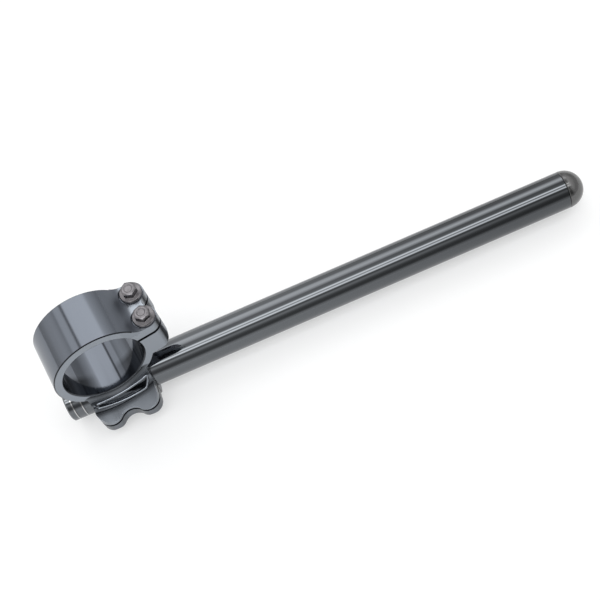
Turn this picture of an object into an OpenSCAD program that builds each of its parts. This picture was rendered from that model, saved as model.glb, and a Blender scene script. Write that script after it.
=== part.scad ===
// Clip-on handlebar, one side: a fork clamp with a lobed bar socket, a straight bar tube,
// a domed end plug, two fork pinch bolts and two bar pinch bolts. Millimetres.
// Origin at the centre of the fork bore, its axis along Y, the fork pinch bolts point up (+Z).

/* [Fork clamp] */
// Fork tube diameter that the ring fits
fork_d = 47; // [35:0.5:56]
// Wall of the ring around the fork bore
ring_wall = 5.4; // [4:0.1:9]
// Width of the ring along the fork
ring_w = 31.5; // [24:0.5:44]
// Width of the pinch slit of the ring
slit_w = 1.9; // [1:0.1:3]
// Thickness of the pinch lug above the slit
lug_up_t = 6.4; // [5:0.1:12]
// Height of the pinch lug under the slit
lug_low_t = 17; // [12:0.5:24]
// Distance from the bore wall out to the pinch bolts
lug_reach = 8.9; // [7:0.1:14]
// Distance between the two fork pinch bolts
bolt_pitch = 17.4; // [14:0.1:28]
// Height of the ring slit over the middle of the bore
slit_z = 6.35; // [0:0.05:10]

/* [Bar socket] */
// Wall between the fork bore and the bar bore
web_t = 5.6; // [4:0.1:14]
// Length of the socket along the bar
socket_l = 37.2; // [30:0.1:60]
// Wall of the socket under the bar
socket_wall = 4.6; // [3.5:0.1:9]
// Droop of the bar toward the rider
droop = 8; // [0:0.5:15]
// Shift of the socket along the bar from the fork axis
socket_shift = 1.1; // [-3:0.1:3]
// Distance between the two bar pinch bolts
ear_pitch = 22; // [19:0.1:34]
// Radius of each ear lobe around its bolt
ear_r = 7.2; // [5.5:0.1:9]
// Distance from the bar wall out to the ear bolts
ear_reach = 7; // [6:0.1:12]
// Thickness of the ears over the slit, where they are thinnest
ear_up_t = 1.5; // [1:0.1:5]
// Slope of the ears toward their tips
ear_slope = 13; // [0:1:20]
// Thickness of the ears under the slit
ear_low_t = 5.4; // [4:0.1:12]
// Width of the pinch slit of the socket
bar_slit_w = 1.8; // [0.8:0.1:3]

/* [Bar] */
// Outside diameter of the bar tube
bar_d = 22.2; // [19:0.1:28.6]
// Wall of the bar tube
tube_wall = 3; // [1.5:0.1:5]
// Length of the bar tube
bar_l = 311.7; // [180:0.1:360]
// Length of bar that sticks out past the inner side of the socket
inner_stub = 15; // [6:0.1:30]
// Distance between the turned rings at the inner end
groove_pitch = 5.2; // [3:0.1:10]

/* [Bolts] */
// Thread size of the pinch bolts
bolt_d = 6; // [5:0.5:8]
// Flange diameter of the fork pinch bolts
flange_d = 13; // [11:0.1:18]
// Height of the hex part of the fork pinch bolts
hex_h = 4.1; // [3.5:0.1:8]

/* [Hidden] */
$fn = 64;
eps = 0.02;
fit = 0.1;
bore_r = fork_d / 2;
ring_r = bore_r + ring_wall;
half_w = ring_w / 2;
bar_r = bar_d / 2;
bar_z = -(bore_r + web_t + bar_r);
bar_y = bar_r + ring_wall / 4 - half_w;
lug_x = bore_r + lug_reach;
lug_r = half_w - bolt_pitch / 2;
slit_top = slit_z + slit_w / 2;
slit_low = slit_z - slit_w / 2;
lug_top = slit_top + lug_up_t;
lug_bot = slit_low - lug_low_t;
spot_r = flange_d / 2 + 0.6;
spot_z = lug_top - 0.2;
front_wall = ring_wall / 4;
front_f = bar_r + front_wall;
back_f = bar_r + socket_wall;
ear_f = bar_r + ear_reach;
ear_s = ear_pitch / 2;
half_s = socket_l / 2;
valley_r = 1.04 * ear_r;
valley_f = ear_f + sqrt(pow(ear_r + valley_r - 0.08, 2) - ear_s * ear_s);
ear_bot = -bar_slit_w / 2 - ear_low_t;
ear_end = ear_f + ear_r;
socket_bot = -(bar_r + socket_wall);
edge = 0.5;
stub_s = socket_shift - half_s - inner_stub;
seam_s = stub_s + bar_l;
tube_in_r = bar_r - tube_wall;
plug_l = 18;
flange_t = 1.8;
hex_af = bolt_d * 4 / 3;
hex_circum = hex_af / cos(30);
shank_l = lug_top - lug_bot - bolt_d / 2;
ear_bolt_d = bolt_d - 1;
ear_tap_z = bar_slit_w / 2 + 1.2 * ear_up_t;
ear_head_r = ear_bolt_d * 0.85;
ear_head_h = ear_bolt_d;
ear_head_z = ear_bot + 3.2;
ear_bolt_l = ear_tap_z - ear_head_z - 0.3;
tap_r = bolt_d / 2;
clear_r = bolt_d / 2 + 0.4;
rim_r = bore_r + ring_wall / 5;
lip_r = bore_r + 1.6 * ring_wall;
cove_d = 0.7 * ring_wall;
ear_top_r = -bar_z - bar_slit_w / 2 - ear_up_t;
cove_end = ear_top_r - (valley_f - valley_r - bar_y - half_w - cove_d) * tan(ear_slope);
cove_r = cove_end - lip_r;
mouth_y = half_w + 0.22 * ring_wall;
mouth_z = bore_r + 1.96 * ring_wall;
mouth_tilt = 45;
far = 3 * fork_d;
anod = [0.13, 0.14, 0.15];
tube_c = [0.1, 0.1, 0.11];
plug_c = [0.2, 0.2, 0.21];
steel_c = [0.66, 0.65, 0.66];

// Frame of the bar: X along the bar outward, Y forward of its axis, Z up
module in_bar() {
  translate([0, bar_y, bar_z])
    rotate([0, 0, -droop])
      mirror([0, 1, 0])
        children();
}

// Solid of revolution about the fork axis, profile in (radius, distance in front of the middle)
module about_fork() {
  rotate([90, 0, 0])
    rotate_extrude($fn = 128)
      children();
}

// Plan outline of the two pinch lobes of the ring, in X and Y
module lug_plan() {
  scallop_r = 0.6 * lug_r;
  scallop_x = lug_x + sqrt(pow(lug_r + scallop_r - 0.08, 2) - pow(bolt_pitch / 2, 2));
  difference() {
    union() {
      translate([0, -half_w])
        square([lug_x, ring_w]);
      for (y = [-1, 1])
        translate([lug_x, y * bolt_pitch / 2])
          circle(r = lug_r);
      translate([lug_x - eps, -bolt_pitch / 2])
        square([(scallop_x - lug_x) * lug_r / (lug_r + scallop_r), bolt_pitch]);
    }
    translate([scallop_x, 0])
      circle(r = scallop_r);
  }
}

// Front outline of the ring with its pinch lug, in X and Z
module lug_front() {
  fil = 1.67 * ring_wall;
  cx = sqrt(pow(ring_r + fil, 2) - pow(lug_top + fil, 2));
  tx = cx * ring_r / (ring_r + fil);
  low_c = 1.1 * ring_wall;
  root_r = 1.67 * ring_wall;
  root_h = 2.2 * ring_wall;
  difference() {
    union() {
      polygon([[0, 0], [tx, ring_r * (lug_top + fil) / (ring_r + fil)], [cx, lug_top],
               [lug_x + lug_r, lug_top], [lug_x + lug_r, lug_bot + low_c],
               [lug_x + lug_r - 0.25 * low_c, lug_bot + 0.3 * low_c], [lug_x + lug_r - 0.75 * low_c, lug_bot],
               [0, lug_bot]]);
      polygon([[0, lug_bot + edge], [cx, lug_bot + edge], [lug_x - low_c / 2, lug_bot],
               [half_s - low_c / 3, lug_bot - root_h], [0, lug_bot - root_h]]);
    }
    translate([cx, lug_top + fil])
      circle(r = fil, $fn = 96);
    translate([half_s + root_r + low_c / 10, lug_bot - root_r])
      circle(r = root_r, $fn = 96);
  }
}

// Plan outline of the bar socket with its two ears, along the bar and forward
module ear_plan() {
  a = atan2(ear_s, valley_f - ear_f);
  tang_y = ear_f + (ear_r - 0.3) * cos(a);
  tang_x = ear_s - (ear_r - 0.3) * sin(a);
  difference() {
    union() {
      translate([-half_s, -2 * back_f])
        square([socket_l, front_f + 2 * back_f]);
      polygon([[-half_s, front_f - front_wall], [-ear_s - ear_r * 0.96, ear_f + ear_r * 0.28],
               [-tang_x, tang_y], [tang_x, tang_y],
               [ear_s + ear_r * 0.96, ear_f + ear_r * 0.28], [half_s, front_f - front_wall]]);
      for (s = [-1, 1])
        translate([s * ear_s, ear_f])
          circle(r = ear_r);
    }
    translate([0, valley_f])
      circle(r = valley_r, $fn = 96);
  }
}

// Side section of the socket, round under the bar, with the ears forward of it
module ear_section() {
  top = -bar_z - ring_r + ring_wall / 2;
  circle(r = back_f, $fn = 128);
  translate([-back_f, 0])
    square([2 * back_f, top]);
  polygon([[0, ear_bot], [ear_end - edge, ear_bot], [ear_end + edge, ear_bot + 2 * edge],
           [ear_end + edge, top], [0, top]]);
}

module socket_block() {
  in_bar()
    translate([socket_shift, 0, 0])
      intersection() {
        translate([0, 0, socket_bot - edge])
          linear_extrude(height = -bar_z)
            ear_plan();
        rotate([90, 0, 90])
          translate([0, 0, -socket_l])
            linear_extrude(height = 2 * socket_l)
              ear_section();
      }
}

// Room in front of the ring, turned about the fork axis, that the ears are cut back to
module fork_room() {
  room = 2 * ear_end;
  about_fork()
    polygon([[0, half_w], [cove_end, half_w], [cove_end, half_w + cove_d],
             [cove_end + room * tan(ear_slope), half_w + cove_d + room], [0, half_w + cove_d + room]]);
}

// Local frame on the cove: X across, Y down and forward, Z into the metal
module on_mouth() {
  translate([0, -mouth_y, -mouth_z])
    rotate([180 + mouth_tilt, 0, 0])
      children();
}

// Cove that joins the front face of the ring to the ears, turned about the fork axis
module cove() {
  steps = 10;
  arc = [for (i = [0:steps]) [lip_r + cove_r * sin(90 * i / steps),
                               half_w + cove_d * (1 - cos(90 * i / steps))]];
  intersection() {
    about_fork()
      polygon(concat([[bore_r, 0], [bore_r, half_w]], arc,
                     [[cove_end + ring_wall / 2, half_w + cove_d], [cove_end + ring_wall / 2, 0]]));
    in_bar()
      translate([socket_shift, 0, 0])
        linear_extrude(height = -bar_z)
          ear_plan();
  }
}

// Curved relief slot in the cove, pointed at its inner end and round at its outer end
module relief_slot() {
  depth = 0.7 * ring_wall;
  on_mouth()
    translate([0, 0, -far / 4])
      linear_extrude(height = far / 4 + depth)
        slot_outline();
}

// Outline of the relief slot, seen square to the cove
module slot_outline() {
  up_r = 13.6 * ring_wall;
  low_r = 9.63 * ring_wall;
  low_x = 0.71 * ring_wall;
  end_r = 1.72 * ring_wall;
  end_x = 1.19 * ring_wall;
  difference() {
    intersection() {
      translate([low_x, 0.44 * ring_wall - low_r])
        circle(r = low_r, $fn = 192);
      union() {
        translate([-2 * half_s, -half_s])
          square([2 * half_s + end_x, 2 * half_s]);
        translate([end_x, -1.04 * ring_wall])
          circle(r = end_r);
      }
    }
    translate([-0.17 * ring_wall, -0.4 * ring_wall - up_r])
      circle(r = up_r, $fn = 192);
  }
}

// Trough between the rim of the bore and the cove, deepest at the rim, with rounded ends
module rim_trough() {
  end_r = 0.6 * ring_wall;
  mid_r = rim_r + 0.98 * end_r;
  for (part = [0, 1])
    intersection() {
      about_fork()
        trough_profile();
      rotate([90, 0, 0])
        linear_extrude(height = far / 2)
          if (part == 0)
            for (a = [-129, -50])
              translate([mid_r * cos(a), mid_r * sin(a)])
                circle(r = end_r);
          else
            polygon([[0, 0], [far * cos(-129), far * sin(-129)], [far * cos(-50), far * sin(-50)]]);
    }
}

// Profile of the trough, in (radius, distance in front of the middle of the ring)
module trough_profile() {
  polygon([[rim_r, half_w - 0.42 * ring_wall], [rim_r, half_w + edge],
           [lip_r + 0.02 * ring_wall, half_w + edge], [lip_r, half_w],
           [lip_r - 0.25 * ring_wall, half_w - 0.02 * ring_wall],
           [rim_r + 0.9 * ring_wall, half_w - 0.06 * ring_wall],
           [rim_r + 0.55 * ring_wall, half_w - 0.12 * ring_wall],
           [rim_r + 0.32 * ring_wall, half_w - 0.2 * ring_wall],
           [rim_r + 0.14 * ring_wall, half_w - 0.32 * ring_wall]]);
}

module clamp_body() {
  color(anod)
    difference() {
      union() {
        about_fork()
          polygon([[bore_r - 1, -half_w], [ring_r - edge, -half_w], [ring_r, -half_w + edge],
                   [ring_r, half_w - edge], [ring_r - edge, half_w], [bore_r - 1, half_w]]);
        intersection() {
          translate([0, 0, -far / 2])
            linear_extrude(height = far)
              lug_plan();
          rotate([90, 0, 0])
            translate([0, 0, -half_w])
              linear_extrude(height = ring_w)
                lug_front();
        }
        difference() {
          socket_block();
          fork_room();
        }
        cove();
      }
      // Fork bore with a small lead-in at both faces
      about_fork()
        polygon([[0, -half_w - 9], [bore_r + 0.6, -half_w - 9], [bore_r + 0.6, -half_w],
                 [bore_r, -half_w + 0.6], [bore_r, half_w - 0.6], [bore_r + 0.6, half_w],
                 [bore_r + 0.6, half_w + 9], [0, half_w + 9]]);
      // Slit of the ring
      translate([bore_r * 0.8, -half_w - 1, slit_low])
        cube([far, ring_w + 2, slit_w]);
      // Bar bore
      in_bar()
        rotate([0, 90, 0])
          cylinder(r = bar_r, h = far, center = true, $fn = 96);
      // Slit of the socket
      in_bar()
        translate([-far / 2, bar_r * 0.7, -bar_slit_w / 2])
          cube([far, far / 2, bar_slit_w]);
      relief_slot();
      rim_trough();
      // Fork pinch bolt holes, with a spotface under each flange
      for (y = [-1, 1])
        translate([lug_x, y * bolt_pitch / 2, 0]) {
          translate([0, 0, slit_z])
            cylinder(r = clear_r, h = 30);
          translate([0, 0, lug_bot - 1])
            cylinder(r = tap_r, h = slit_z - lug_bot + 1);
          translate([0, 0, spot_z])
            cylinder(r = spot_r, h = 30);
        }
      // Bar pinch bolt holes, counterbored from below and tapped above the slit
      in_bar()
        for (s = [-1, 1])
          translate([socket_shift + s * ear_s, ear_f, 0]) {
            translate([0, 0, ear_bot - 4])
              cylinder(r = ear_bolt_d / 2 + 0.3, h = -ear_bot + 4);
            cylinder(r = ear_bolt_d / 2, h = ear_tap_z);
            translate([0, 0, ear_bot - 12])
              cylinder(r = ear_head_r + 0.3, h = ear_head_z - ear_bot + 12);
          }
    }
}

// Hollow bar with two turned rings at its inner end
module bar_tube() {
  g1 = stub_s + groove_pitch * 0.85;
  g2 = g1 + groove_pitch;
  color(tube_c)
    in_bar()
      rotate([0, 90, 0])
        rotate_extrude($fn = 96)
          polygon([[tube_in_r, stub_s + 0.6], [tube_in_r + 0.6, stub_s],
                   [bar_r - 0.8, stub_s], [bar_r, stub_s + 0.8],
                   [bar_r, g1 - 0.4], [bar_r - 0.3, g1 - 0.2], [bar_r - 0.3, g1 + 0.2], [bar_r, g1 + 0.4],
                   [bar_r, g2 - 0.4], [bar_r - 0.3, g2 - 0.2], [bar_r - 0.3, g2 + 0.2], [bar_r, g2 + 0.4],
                   [bar_r, seam_s - 0.4], [bar_r - 0.4, seam_s], [tube_in_r, seam_s]]);
}

// Domed plug in the outer end of the bar
module bar_end_plug() {
  neck = edge * 0.8;
  color(plug_c)
    in_bar()
      rotate([0, 90, 0])
        union() {
          translate([0, 0, seam_s + neck])
            difference() {
              sphere(r = bar_r, $fn = 96);
              translate([0, 0, -bar_r])
                cube([3 * bar_r, 3 * bar_r, 2 * bar_r], center = true);
            }
          rotate_extrude($fn = 96)
            polygon([[0, seam_s - plug_l], [tube_in_r - 1, seam_s - plug_l], [tube_in_r, seam_s - plug_l + 1],
                     [tube_in_r, seam_s], [bar_r - neck, seam_s], [bar_r, seam_s + neck],
                     [bar_r / 2, seam_s + neck], [bar_r / 2, seam_s + bar_r / 2], [0, seam_s + bar_r / 2]]);
        }
}

// Flanged hex bolt with a dished top, head sitting on z = 0
module hex_bolt(turn) {
  color(steel_c)
    difference() {
      union() {
        translate([0, 0, -shank_l])
          cylinder(r = tap_r, h = shank_l + flange_t);
        rotate_extrude($fn = 64)
          polygon([[0, 0], [flange_d / 2 - 0.4, 0], [flange_d / 2, 0.4], [flange_d / 2, flange_t - 0.5],
                   [flange_d / 2 - 0.5, flange_t], [hex_af / 2 - 0.6, flange_t + 0.6], [0, flange_t + 0.6]]);
        intersection() {
          rotate([0, 0, turn])
            cylinder(d = hex_circum, h = flange_t + hex_h, $fn = 6);
          rotate_extrude($fn = 64)
            polygon([[0, 0], [hex_circum / 2 + 1, 0], [hex_circum / 2 + 1, flange_t + hex_h - 0.9],
                     [hex_af / 2 - 0.6, flange_t + hex_h], [0, flange_t + hex_h]]);
        }
      }
      translate([0, 0, flange_t + hex_h - 0.35])
        cylinder(r1 = hex_af / 4, r2 = hex_af / 4 + 0.6, h = 0.4);
    }
}

module fork_pinch_bolt_front() {
  translate([lug_x, -bolt_pitch / 2, spot_z])
    hex_bolt(16);
}

module fork_pinch_bolt_rear() {
  translate([lug_x, bolt_pitch / 2, spot_z])
    hex_bolt(32);
}

// Socket head screw that enters an ear from below, the head under z = 0
module ear_bolt() {
  color(steel_c)
    difference() {
      union() {
        cylinder(r = ear_bolt_d / 2, h = ear_bolt_l);
        rotate_extrude($fn = 48)
          polygon([[0, -ear_head_h], [ear_head_r - 0.5, -ear_head_h], [ear_head_r, -ear_head_h + 0.5],
                   [ear_head_r, -0.2], [ear_head_r - 0.2, 0], [0, 0]]);
      }
      translate([0, 0, -ear_head_h - 1])
        cylinder(d = 4 / cos(30), h = 1 + ear_head_h * 0.6, $fn = 6);
    }
}

module bar_pinch_bolt_inner() {
  in_bar()
    translate([socket_shift - ear_s, ear_f, ear_head_z])
      ear_bolt();
}

module bar_pinch_bolt_outer() {
  in_bar()
    translate([socket_shift + ear_s, ear_f, ear_head_z])
      ear_bolt();
}

clamp_body();
bar_tube();
bar_end_plug();
fork_pinch_bolt_front();
fork_pinch_bolt_rear();
bar_pinch_bolt_inner();
bar_pinch_bolt_outer();
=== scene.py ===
import bpy, math
from mathutils import Matrix, Vector
from mathutils.bvhtree import BVHTree


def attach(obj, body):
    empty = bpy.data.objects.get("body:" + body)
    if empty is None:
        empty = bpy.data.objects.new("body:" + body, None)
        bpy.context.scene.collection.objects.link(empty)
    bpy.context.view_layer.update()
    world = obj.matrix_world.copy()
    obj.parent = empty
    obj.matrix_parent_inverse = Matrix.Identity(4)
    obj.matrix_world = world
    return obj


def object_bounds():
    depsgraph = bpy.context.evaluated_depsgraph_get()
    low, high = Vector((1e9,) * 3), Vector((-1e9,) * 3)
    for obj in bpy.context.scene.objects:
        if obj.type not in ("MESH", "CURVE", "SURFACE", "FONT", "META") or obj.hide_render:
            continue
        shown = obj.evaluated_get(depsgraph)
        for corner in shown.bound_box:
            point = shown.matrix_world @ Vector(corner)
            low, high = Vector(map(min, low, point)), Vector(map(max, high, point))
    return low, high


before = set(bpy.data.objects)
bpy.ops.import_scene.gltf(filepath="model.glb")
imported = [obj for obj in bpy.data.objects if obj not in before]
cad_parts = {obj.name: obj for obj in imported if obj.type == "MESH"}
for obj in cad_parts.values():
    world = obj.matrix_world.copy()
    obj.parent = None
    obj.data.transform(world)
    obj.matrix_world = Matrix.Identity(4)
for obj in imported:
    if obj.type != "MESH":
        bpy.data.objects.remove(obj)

loaded_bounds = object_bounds()

# Main sizes of the part, in metres, in the part's frame
BORE_R = 0.0235
WALL = 0.0054
HALF_W = 0.01575
BAR_Y = -0.0033
DROOP = math.radians(8)
BAR_DIR = Vector((math.cos(DROOP), -math.sin(DROOP), 0))
# Turned rings of the bar, measured along it, and half the width of their bright line
RING_MARKS = (-0.02878, -0.02358)
RING_MARK_IN, RING_MARK_OUT = 0.00022, 0.00034
# Pointed end of the relief slot, and radius of its lip
SLOT_LEFT = -0.0163
LIP_R = 0.0009


# Node material helper
class Nodes:
    def __init__(self, owner, output="ShaderNodeOutputMaterial"):
        self.owner = owner
        owner.use_nodes = True
        self.tree = owner.node_tree
        self.tree.nodes.clear()
        self.out = self.add(output)

    def add(self, kind, **values):
        node = self.tree.nodes.new(kind)
        for key, value in values.items():
            setattr(node, key, value)
        return node

    def set(self, socket, value):
        if isinstance(value, bpy.types.NodeSocket):
            self.tree.links.new(value, socket)
        else:
            socket.default_value = value

    def math(self, op, a, b=None, clamp=False):
        node = self.add("ShaderNodeMath", operation=op, use_clamp=clamp)
        for i, v in enumerate((a, b)):
            if v is not None:
                self.set(node.inputs[i], v)
        return node.outputs[0]

    def product(self, *factors):
        result = factors[0]
        for factor in factors[1:]:
            result = self.math("MULTIPLY", result, factor)
        return result

    # Where the mask is 1, only the given share of the shade is left
    def dimmed(self, shade, mask, share):
        return self.math("MULTIPLY", shade, self.ramp(mask, 0.0, 1.0, 1.0, share))

    def ramp(self, value, low, high, out_low=0.0, out_high=1.0):
        node = self.add("ShaderNodeMapRange", clamp=True)
        for i, v in enumerate((value, low, high, out_low, out_high)):
            self.set(node.inputs[i], v)
        return node.outputs[0]

    def mix(self, fac, a, b):
        node = self.add("ShaderNodeMix", data_type="RGBA")
        self.set(node.inputs[0], fac)
        self.set(node.inputs[6], a)
        self.set(node.inputs[7], b)
        return node.outputs[2]

    def position(self):
        return self.add("ShaderNodeTexCoord").outputs["Object"]

    def split(self, vector):
        node = self.add("ShaderNodeSeparateXYZ")
        self.set(node.inputs[0], vector)
        return node.outputs

    def noise(self, vector, scale, detail=2.0, rough=0.5):
        node = self.add("ShaderNodeTexNoise")
        self.set(node.inputs["Vector"], vector)
        self.set(node.inputs["Scale"], scale)
        self.set(node.inputs["Detail"], detail)
        self.set(node.inputs["Roughness"], rough)
        return node.outputs["Fac"]

    def stretch(self, vector, scale):
        node = self.add("ShaderNodeMapping")
        self.set(node.inputs["Vector"], vector)
        node.inputs["Scale"].default_value = scale
        return node.outputs[0]

    def bump(self, height, strength, distance, normal=None):
        node = self.add("ShaderNodeBump")
        self.set(node.inputs["Height"], height)
        self.set(node.inputs["Strength"], strength)
        self.set(node.inputs["Distance"], distance)
        if normal is not None:
            self.set(node.inputs["Normal"], normal)
        return node.outputs[0]

    def surface(self, color, rough, metal=1.0, normal=None, **extra):
        node = self.add("ShaderNodeBsdfPrincipled")
        self.set(node.inputs["Base Color"], color)
        self.set(node.inputs["Roughness"], rough)
        self.set(node.inputs["Metallic"], metal)
        if normal is not None:
            self.set(node.inputs["Normal"], normal)
        for key, value in extra.items():
            self.set(node.inputs[key.replace("_", " ")], value)
        self.set(self.out.inputs[0], node.outputs[0])
        return node


def rgb(r, g, b):
    return (r, g, b, 1.0)


# Less light in the hollows of the clamp, by place in metres: each mask with the share that is left
def place_shade(n, x, y, z, radius, facing):
    low = n.ramp(z, -0.0183, -0.0205)
    # Trough between the rim of the bore and the cove
    trough = n.product(low, n.ramp(radius, 0.0284, 0.0262), n.ramp(facing, 0.2, 0.4),
                       n.ramp(y, -HALF_W + 0.0001, -HALF_W + 0.0004))
    # Shoulder between the trough and the relief slot
    shoulder = n.product(low, n.ramp(radius, 0.0355, 0.0335), n.ramp(y, -0.012, -0.014),
                         n.ramp(radius, 0.0244, 0.0247))
    # Band of the cove in front of the slot
    cove = n.product(n.ramp(y, -0.0226, -0.0204), n.ramp(y, -0.0160, -0.0175), n.ramp(z, -0.030, -0.032))
    # Ears under the slit, which face the shaded floor
    lower = n.product(n.ramp(z, -0.0398, -0.0408), n.ramp(y, -0.012, -0.018))
    # Both sides of the bore near its front
    across = n.math("DIVIDE", x, radius)
    sides = n.math("ADD", n.ramp(across, 0.0, 0.48), n.ramp(across, -0.35, -0.7), clamp=True)
    inside = n.product(sides, n.ramp(y, -0.001, -0.005), n.ramp(radius, 0.0243, 0.0239),
                       n.ramp(z, 0.012, 0.002))
    shade = 1.0
    for mask, share in ((trough, 0.1), (shoulder, 0.5), (cove, 0.35), (lower, 0.5), (inside, 0.25)):
        shade = n.dimmed(shade, mask, share)
    return shade


# Painted shade: broken edges are darkened into dark lines, but not the rounded lips of the slot
def painted_edge_shade(n, z, radius, facing, true_normal, slot):
    wide = n.add("ShaderNodeBevel", samples=8)
    wide.inputs["Radius"].default_value = 0.00045
    dot = n.add("ShaderNodeVectorMath", operation="DOT_PRODUCT")
    n.set(dot.inputs[0], wide.outputs[0])
    n.set(dot.inputs[1], true_normal)
    line = n.product(n.ramp(dot.outputs["Value"], 0.99, 0.93), n.ramp(slot, 0.0, 1.0, 1.0, 0.0))
    # Painted shade on the chamfer low on the outside of the ring
    chamfer_shade = n.product(n.ramp(facing, 0.5, 0.62), n.ramp(facing, 0.85, 0.78),
                        n.ramp(radius, 0.0281, 0.0284), n.ramp(z, -0.024, -0.02))
    return n.math("MAXIMUM", line, chamfer_shade)


# Black anodised aluminium of the machined clamp: turned faces glossier than milled ones
def clamp_material(name, lip=False):
    n = Nodes(bpy.data.materials.new(name))
    pos = n.position()
    x, y, z = n.split(pos)
    fine = n.noise(pos, 3800.0, 3.0)
    broad = n.noise(pos, 70.0, 3.0)
    radius = n.math("SQRT", n.math("ADD", n.math("MULTIPLY", x, x), n.math("MULTIPLY", z, z)))
    geo = n.add("ShaderNodeNewGeometry")
    true_normal = geo.outputs["True Normal"]
    facing = n.math("ABSOLUTE", n.split(true_normal)[1])
    turned = n.product(n.ramp(radius, 0.0295, 0.031, 1.0, 0.0), n.ramp(facing, 0.05, 0.4, 1.0, 0.0))
    marks = n.noise(n.stretch(pos, (1.0, 0.02, 1.0)), 900.0, 2.0)
    tone = n.ramp(broad, 0.3, 0.7)
    color = n.mix(tone, rgb(0.0015, 0.0018, 0.0024), rgb(0.003, 0.0034, 0.0044))
    shade = place_shade(n, x, y, z, radius, facing)
    rough = n.ramp(turned, 0.0, 1.0, 0.24, n.ramp(radius, 0.026, 0.027, 0.045, 0.1))
    rough = n.math("ADD", rough, n.math("MULTIPLY", fine, 0.04))
    # The fillet behind the pinch bolts is duller, so that it mirrors no bolt
    hollow = n.product(n.ramp(x, 0.015, 0.018), n.ramp(x, 0.029, 0.026), n.ramp(z, 0.0115, 0.0125))
    rough = n.math("MAXIMUM", rough, n.math("MULTIPLY", hollow, 0.5))
    slot = n.product(n.ramp(y, -HALF_W + 0.0002, -HALF_W - 0.0004), n.ramp(z, -0.0295, -0.0305))
    edge = n.add("ShaderNodeBevel", samples=8)
    n.set(edge.inputs["Radius"], n.ramp(slot, 0.0, 1.0, 0.00012, 0.0003))
    height = n.math("ADD", n.math("MULTIPLY", fine, 0.6), n.math("MULTIPLY", marks, turned))
    normal = n.bump(height, 0.05, 0.00008, edge.outputs[0])
    # Painted shade along the broken edges, leaving 0.15 of the light
    shade = n.dimmed(shade, painted_edge_shade(n, z, radius, facing, true_normal, slot), 0.15)
    if lip:
        # Painted light on the lip: its upward faces mirror more light, its downward faces less
        shade = n.ramp(n.split(geo.outputs["Normal"])[2], 0.1, 0.85, 0.3, 1.6)
        rough = 0.17
    # Painted light: the turned outside of the ring mirrors a little more than the bore
    glass = n.ramp(turned, 0.0, 1.0, 2.7, n.ramp(radius, 0.026, 0.027, 2.2, 2.3))
    # Painted light: the top of the pinch lug and the flat front faces mirror more light
    lug_top_light = n.product(n.ramp(n.split(true_normal)[2], 0.9, 0.97), n.ramp(x, 0.022, 0.026))
    glass = n.math("ADD", glass, n.math("MULTIPLY", lug_top_light, 0.9))
    glass = n.math("ADD", glass, n.math("MULTIPLY", n.ramp(facing, 0.9, 0.97), 0.6))
    tint = n.mix(turned, rgb(0.9, 0.98, 1.09), rgb(0.88, 0.97, 1.13))
    n.surface(color, rough, 0.0, normal, IOR=glass, Specular_Tint=tint,
              Specular_IOR_Level=n.math("MULTIPLY", shade, 0.5))
    return n.owner


# Drawn and anodised bar, with bright turned rings at its inner end
def bar_material():
    n = Nodes(bpy.data.materials.new("bar_anodised"))
    pos = n.position()
    x, y, z = n.split(pos)
    along = n.math("ADD", n.math("MULTIPLY", x, BAR_DIR.x),
                   n.math("MULTIPLY", n.math("SUBTRACT", y, BAR_Y), BAR_DIR.y))
    drawn = n.noise(n.stretch(pos, (0.02, 1.0, 1.0)), 700.0, 2.0)
    fine = n.noise(pos, 3000.0, 2.0)
    color = n.mix(n.ramp(drawn, 0.3, 0.7), rgb(0.001, 0.0011, 0.0013), rgb(0.0022, 0.0023, 0.0026))
    metal = 0.0
    for centre in RING_MARKS:
        off = n.math("ABSOLUTE", n.math("SUBTRACT", along, centre))
        ring = n.ramp(off, RING_MARK_IN, RING_MARK_OUT, 1.0, 0.0)
        color = n.mix(ring, color, rgb(0.5, 0.5, 0.5))
        metal = n.math("MAXIMUM", ring, metal)
    rough = n.math("ADD", n.math("MULTIPLY", fine, 0.02), 0.02)
    normal = n.bump(n.math("ADD", drawn, fine), 0.03, 0.00005)
    # Painted shade: the outer half of the bar is darker in front
    upward = n.split(n.add("ShaderNodeNewGeometry").outputs["Normal"])[2]
    far_front_shade = n.math("MULTIPLY", n.ramp(along, 0.05, 0.24), n.ramp(upward, 0.97, 0.85))
    n.surface(color, rough, metal, normal, IOR=2.2, Specular_Tint=rgb(0.94, 1.0, 1.07),
              Specular_IOR_Level=n.ramp(far_front_shade, 0.0, 1.0, 0.5, 0.3))
    return n.owner


# Dark satin end plug
def plug_material():
    n = Nodes(bpy.data.materials.new("plug_satin"))
    pos = n.position()
    fine = n.noise(pos, 2600.0, 3.0)
    color = n.mix(n.ramp(fine, 0.3, 0.7), rgb(0.004, 0.004, 0.004), rgb(0.008, 0.008, 0.008))
    rough = n.math("ADD", n.math("MULTIPLY", fine, 0.04), 0.14)
    n.surface(color, rough, 0.0, n.bump(fine, 0.05, 0.00006), IOR=2.05)
    return n.owner


# Dark plated steel of the bolts
def bolt_material():
    n = Nodes(bpy.data.materials.new("bolt_plated_steel"))
    pos = n.position()
    fine = n.noise(pos, 2200.0, 3.0)
    wear = n.noise(pos, 400.0, 3.0)
    color = n.mix(n.ramp(wear, 0.35, 0.65), rgb(0.15, 0.145, 0.152), rgb(0.2, 0.192, 0.202))
    rough = n.math("ADD", n.math("MULTIPLY", fine, 0.12), 0.2)
    edge = n.add("ShaderNodeBevel", samples=6)
    edge.inputs["Radius"].default_value = 0.0003
    n.surface(color, rough, 1.0, n.bump(fine, 0.06, 0.00006, edge.outputs[0]))
    return n.owner


def paint(name, mat):
    obj = bpy.data.objects[name]
    obj.data.materials.clear()
    obj.data.materials.append(mat)


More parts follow.
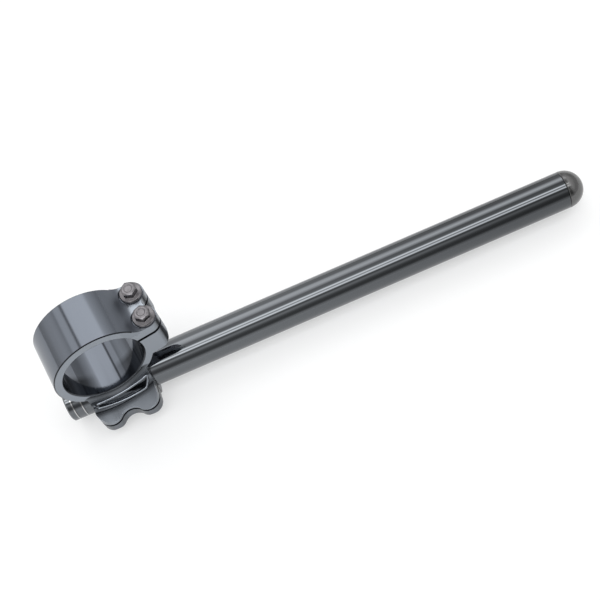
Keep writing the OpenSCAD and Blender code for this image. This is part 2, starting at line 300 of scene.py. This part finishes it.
clamp_mat, lip_mat = clamp_material("clamp_anodised"), clamp_material("lip_anodised", lip=True)
bar_mat, plug_mat, bolt_mat = bar_material(), plug_material(), bolt_material()
paint("clamp_body", clamp_mat)
paint("bar_tube", bar_mat)
paint("bar_end_plug", plug_mat)
for bolt in ("fork_pinch_bolt_front", "fork_pinch_bolt_rear",
             "bar_pinch_bolt_inner", "bar_pinch_bolt_outer"):
    paint(bolt, bolt_mat)


# Frame on the cove: across, down and forward, and into the metal
DIAG = math.sqrt(0.5)
MOUTH = Vector((0, -(HALF_W + 0.22 * WALL), -(BORE_R + 1.96 * WALL)))
DOWN = Vector((0, -DIAG, -DIAG))
INWARD = Vector((0, DIAG, -DIAG))


# Outline of the relief slot moved outward by a margin, closed at its pointed end
def slot_path(margin):
    low_r, up_r = 9.63 * WALL + margin, 13.6 * WALL - margin
    end_r = 1.72 * WALL + margin
    low_c = Vector((0.71 * WALL, 0.44 * WALL - 9.63 * WALL))
    up_c = Vector((-0.17 * WALL, -0.4 * WALL - 13.6 * WALL))
    end_c = Vector((1.19 * WALL, -1.04 * WALL))
    left = SLOT_LEFT

    def low(a):
        return low_c.y + math.sqrt(low_r ** 2 - (a - low_c.x) ** 2)

    def up(a):
        return up_c.y + math.sqrt(up_r ** 2 - (a - up_c.x) ** 2)

    path = []
    for i in range(41):
        a = left + (end_c.x - left) * i / 40
        path.append((a, low(a)))
    for i in range(1, 25):
        t = math.radians(90 - 82 * i / 24)
        a, b = end_c.x + end_r * math.cos(t), end_c.y + end_r * math.sin(t)
        if b > up(a):
            path.append((a, min(b, low(min(a, 0.02)))))
    right = path[-1][0]
    for i in range(1, 51):
        a = right + (left - right) * i / 50
        path.append((a, up(a)))
    mid, half = (low(left) + up(left)) / 2, (low(left) - up(left)) / 2
    for i in range(1, 8):
        t = math.radians(-90 - 180 * i / 8)
        path.append((left + half * math.cos(t), mid + half * math.sin(t)))
    return path


def add_mesh(name, verts, faces, mat):
    mesh = bpy.data.meshes.new(name)
    mesh.from_pydata([tuple(v) for v in verts], [], faces)
    mesh.update()
    for face in mesh.polygons:
        face.use_smooth = True
    obj = bpy.data.objects.new(name, mesh)
    bpy.context.scene.collection.objects.link(obj)
    mesh.materials.append(mat)
    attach(obj, "root")
    return obj


# Rounded lip all round the relief slot, laid on the cove
def slot_lip(mat):
    clamp = bpy.data.objects["clamp_body"]
    world = clamp.matrix_world
    tree = BVHTree.FromPolygons([world @ v.co for v in clamp.data.vertices],
                                [tuple(f.vertices) for f in clamp.data.polygons])

    def on_cove(a, b):
        start = MOUTH + Vector((a, 0, 0)) + DOWN * b - INWARD * 0.02
        hit = tree.ray_cast(start, INWARD)[0]
        return 0.001 if hit is None else min((hit - start).length - 0.02, 0.003)

    radius, count = LIP_R, 16
    outer = [on_cove(a, b) for a, b in slot_path(LIP_R)]
    flat = [sum(outer[(i + k) % len(outer)] for k in range(-3, 4)) / 7 for i in range(len(outer))]
    line = [MOUTH + Vector((a, 0, 0)) + DOWN * b + INWARD * (flat[i] + LIP_R / 2)
            for i, (a, b) in enumerate(slot_path(0.00035))]
    verts, faces = [], []
    total = len(line)
    for i, centre in enumerate(line):
        along = (line[(i + 1) % total] - line[i - 1]).normalized()
        out = (-INWARD - along * along.dot(-INWARD)).normalized()
        aside = along.cross(out)
        for k in range(count):
            t = 2 * math.pi * k / count
            verts.append(centre + out * (radius * math.cos(t)) + aside * (radius * math.sin(t)))
    for i in range(total):
        for k in range(count):
            m, j = (k + 1) % count, (i + 1) % total
            faces.append((i * count + k, i * count + m, j * count + m, j * count + k))
    add_mesh("slot_lip", verts, faces, mat)

    # Metal between the pointed end of the slot and the side of the cove
    verts, faces = [], []
    low_edge, up_edge = slot_path(0.0008)[0], slot_path(0.0008)[-8]
    for i in range(8):
        a = low_edge[0] + 0.0004 - 0.00022 * i
        slope = (a - low_edge[0]) * 0.3
        ends = [(a, low_edge[1] + slope), (a, up_edge[1] + slope * 0.7)]
        depth = [on_cove(*ends[0]), on_cove(*ends[1])]
        for deep in (0.0, 0.003):
            for (p, q), d in zip(ends, depth):
                verts.append(MOUTH + Vector((p, 0, 0)) + DOWN * q + INWARD * (d + 0.0001 + deep))
    for i in range(7):
        k = 4 * i
        faces += [(k, k + 1, k + 5, k + 4), (k + 2, k + 6, k + 7, k + 3),
                  (k, k + 4, k + 6, k + 2), (k + 1, k + 3, k + 7, k + 5)]
    faces += [(0, 2, 3, 1), (28, 29, 31, 30)]
    add_mesh("slot_end", verts, faces, clamp.data.materials[0])


slot_lip(lip_mat)


# White floor under the part
def floor():
    bpy.ops.mesh.primitive_plane_add(size=6, location=(0.1, 0, loaded_bounds[0][2]))
    plane = bpy.context.object
    plane.name = "floor"
    n = Nodes(bpy.data.materials.new("floor_white"))
    n.surface(rgb(0.52, 0.52, 0.52), 1.0, 0.0, Specular_IOR_Level=0.0,
              Emission_Color=rgb(0.985, 0.995, 1.0), Emission_Strength=0.45)
    plane.data.materials.append(n.owner)


floor()


# Camera matched to the photograph
cam_data = bpy.data.cameras.new("camera")
cam_data.sensor_width = 36
cam_data.lens = 70.18
cam_data.clip_start = 0.01
cam = bpy.data.objects.new("camera", cam_data)
bpy.context.scene.collection.objects.link(cam)
right = Vector((0.86121577, -0.47075893, -0.19155528))
up = Vector((0.50164331, 0.72682598, 0.4691247))
back = Vector((-0.08161728, -0.50011001, 0.86210707))
pose = Matrix((right, up, back)).transposed().to_4x4()
pose.translation = Vector((0.057902, -0.355671, 0.543374))
cam.matrix_world = pose
bpy.context.scene.camera = cam


# Light of the studio by direction, as (degrees, brightness) at corners joined by straight lines
LIGHT_SCALE = 0.385
STRIPS = [(0, 2.6), (5, 2.3), (9, 1.7), (13, 1.0), (17, 0.7), (22, 0.6), (28, 0.7), (33, 0.9),
          (38, 1.4), (44, 2.4), (49, 2.5), (54, 1.4), (58, 0.9), (62, 2.0), (65, 9.0), (69, 12.0),
          (72, 6.0), (76, 3.5), (79, 8.0), (83, 12.0), (87, 5.0), (91, 2.0), (103, 1.7), (113, 2.2),
          (118, 3.2), (122, 8.0), (127, 11.0), (132, 7.0), (141, 5.6), (147, 3.2), (154, 2.4), (180, 2.5)]
PANELS = [(-120, 2.1), (-113, 1.5), (-105, 2.2), (-90, 1.7), (-80, 2.2), (-70, 3.0), (-57, 2.9),
          (-47, 2.5), (-43, 2.0), (-41, 2.0), (-38, 3.3), (-24, 3.3), (-22, 1.0), (-18, 1.0), (-16, 4.7),
          (34, 5.0), (39, 3.5), (50, 3.0), (60, 2.4), (67, 1.8), (96, 1.9), (112, 2.8)]
TOP_STRIP, TOP_PANEL = 12.0, 8.0


# Brightness along an angle, from a table of corners
def light_curve(n, value, low, high, points, top):
    node = n.add("ShaderNodeValToRGB")
    node.color_ramp.interpolation = "LINEAR"
    ramp = node.color_ramp.elements
    for i, (place, level) in enumerate(points):
        position = (place - low) / (high - low)
        item = ramp[i] if i < 2 else ramp.new(position)
        item.position = position
        item.color = rgb(level / top, level / top, level / top)
    n.set(node.inputs[0], n.ramp(value, low, high))
    return n.math("MULTIPLY", node.outputs[0], top)


# Studio around the part: strips overhead along the bar, panels around the fork axis, a dim front
def studio():
    world = bpy.data.worlds.new("studio")
    bpy.context.scene.world = world
    n = Nodes(world, "ShaderNodeOutputWorld")
    x, y, z = n.split(n.add("ShaderNodeTexCoord").outputs["Generated"])
    psi = n.math("MULTIPLY", n.math("ARCTAN2", z, n.math("MULTIPLY", y, -1.0)), 180.0 / math.pi)
    theta = n.math("MULTIPLY", n.math("ARCTAN2", x, z), 180.0 / math.pi)

    # Strips seen along the bar, from the front horizon over the top to the back
    strips = light_curve(n, psi, 0.0, 180.0, STRIPS, TOP_STRIP)
    # Toward the right the dim parts between the strips fall off, the strips themselves don't
    dim = n.math("MAXIMUM", n.ramp(x, 0.05, 0.3, 1.0, 0.5), n.ramp(strips, 2.5, 9.0))
    strips = n.math("MULTIPLY", strips, dim)
    # Panels seen around the fork axis, from the left over the top to the right
    panels = light_curve(n, theta, -130.0, 130.0, PANELS, TOP_PANEL)
    # Toward both ends the panels hold, in the middle the strips, and behind the part their product
    side = n.ramp(n.math("ABSOLUTE", x), 0.35, 0.6)
    behind = n.product(n.ramp(y, 0.3, 0.45), n.ramp(y, 0.75, 0.62))
    product = n.product(panels, n.ramp(strips, 1.0, 8.0, 0.8, 1.15))
    light = n.mix(behind, n.mix(side, strips, panels), product)
    light = n.mix(1.0 - LIGHT_SCALE, light, rgb(0, 0, 0))
    back = n.add("ShaderNodeBackground")
    n.set(back.inputs[0], light)
    white = n.add("ShaderNodeBackground")
    white.inputs[0].default_value = rgb(1, 1, 1)
    seen = n.add("ShaderNodeMixShader")
    n.set(seen.inputs[0], n.add("ShaderNodeLightPath").outputs["Is Camera Ray"])
    n.set(seen.inputs[1], back.outputs[0])
    n.set(seen.inputs[2], white.outputs[0])
    n.set(n.out.inputs[0], seen.outputs[0])


studio()

bpy.context.scene.view_settings.view_transform = "Standard"
